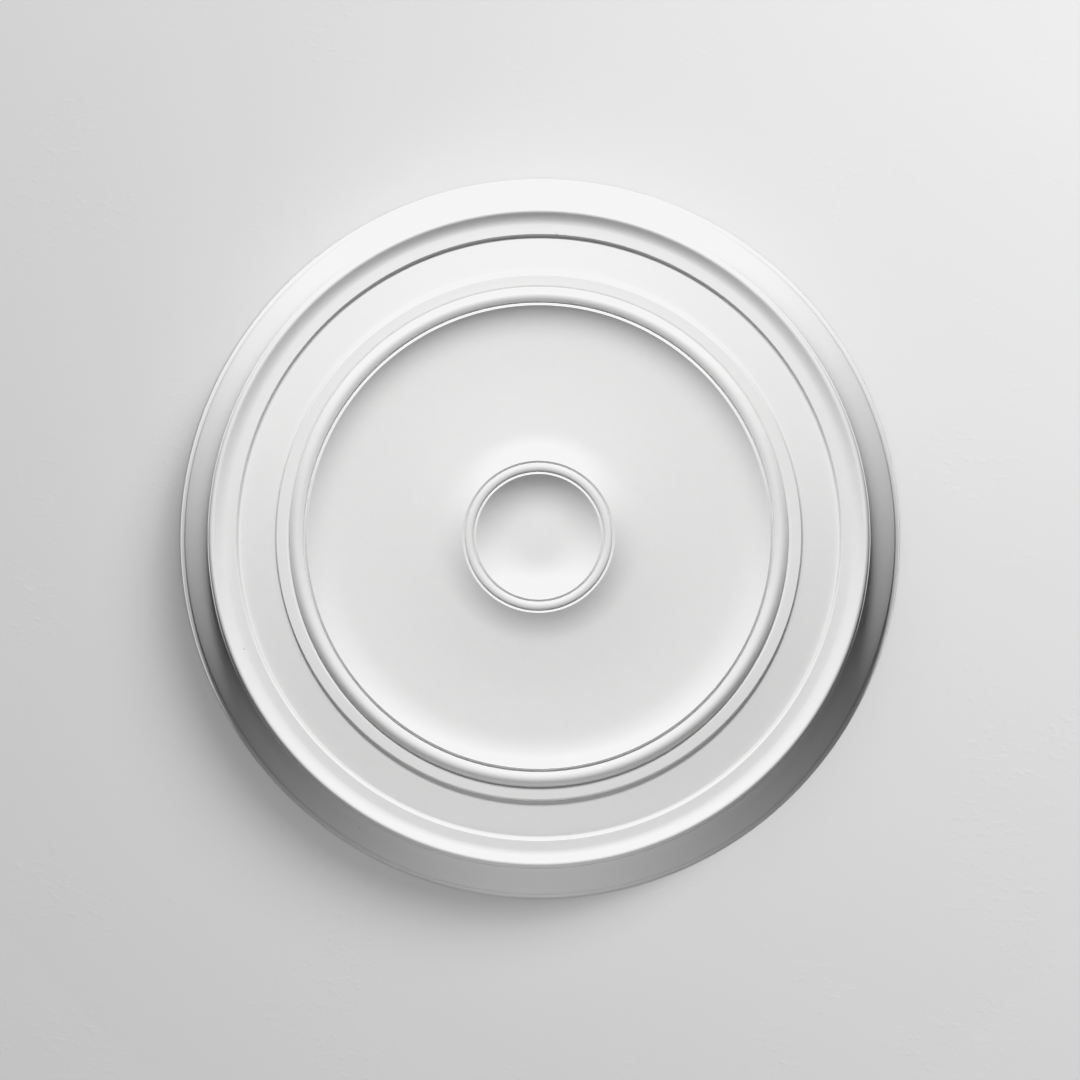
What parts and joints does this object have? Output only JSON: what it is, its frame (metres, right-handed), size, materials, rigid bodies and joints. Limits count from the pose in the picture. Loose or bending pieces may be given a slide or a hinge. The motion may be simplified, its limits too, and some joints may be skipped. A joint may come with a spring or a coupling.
{
  "type": "ceiling rose",
  "caption": "Round plaster ceiling rose: a deep outer cove, ring mouldings, a dished plain panel and a small centre ring around the lamp point.",
  "frame": {"origin": "centre of the flat back, in the plane of the ceiling or wall that the rose is fixed to", "axes": "+Y points into the ceiling or wall, so the face looks along -Y, and +Z is up as in the picture. The form is round about Y: fixed to a ceiling, +Y points up and the turn about it is free"},
  "size_m": [0.6, 0.0576, 0.6],
  "materials": {
    "painted_plaster": "matte"
  },
  "bodies": {
    "root": {"ceiling_rose": "painted_plaster"}
  },
  "joints": []
}
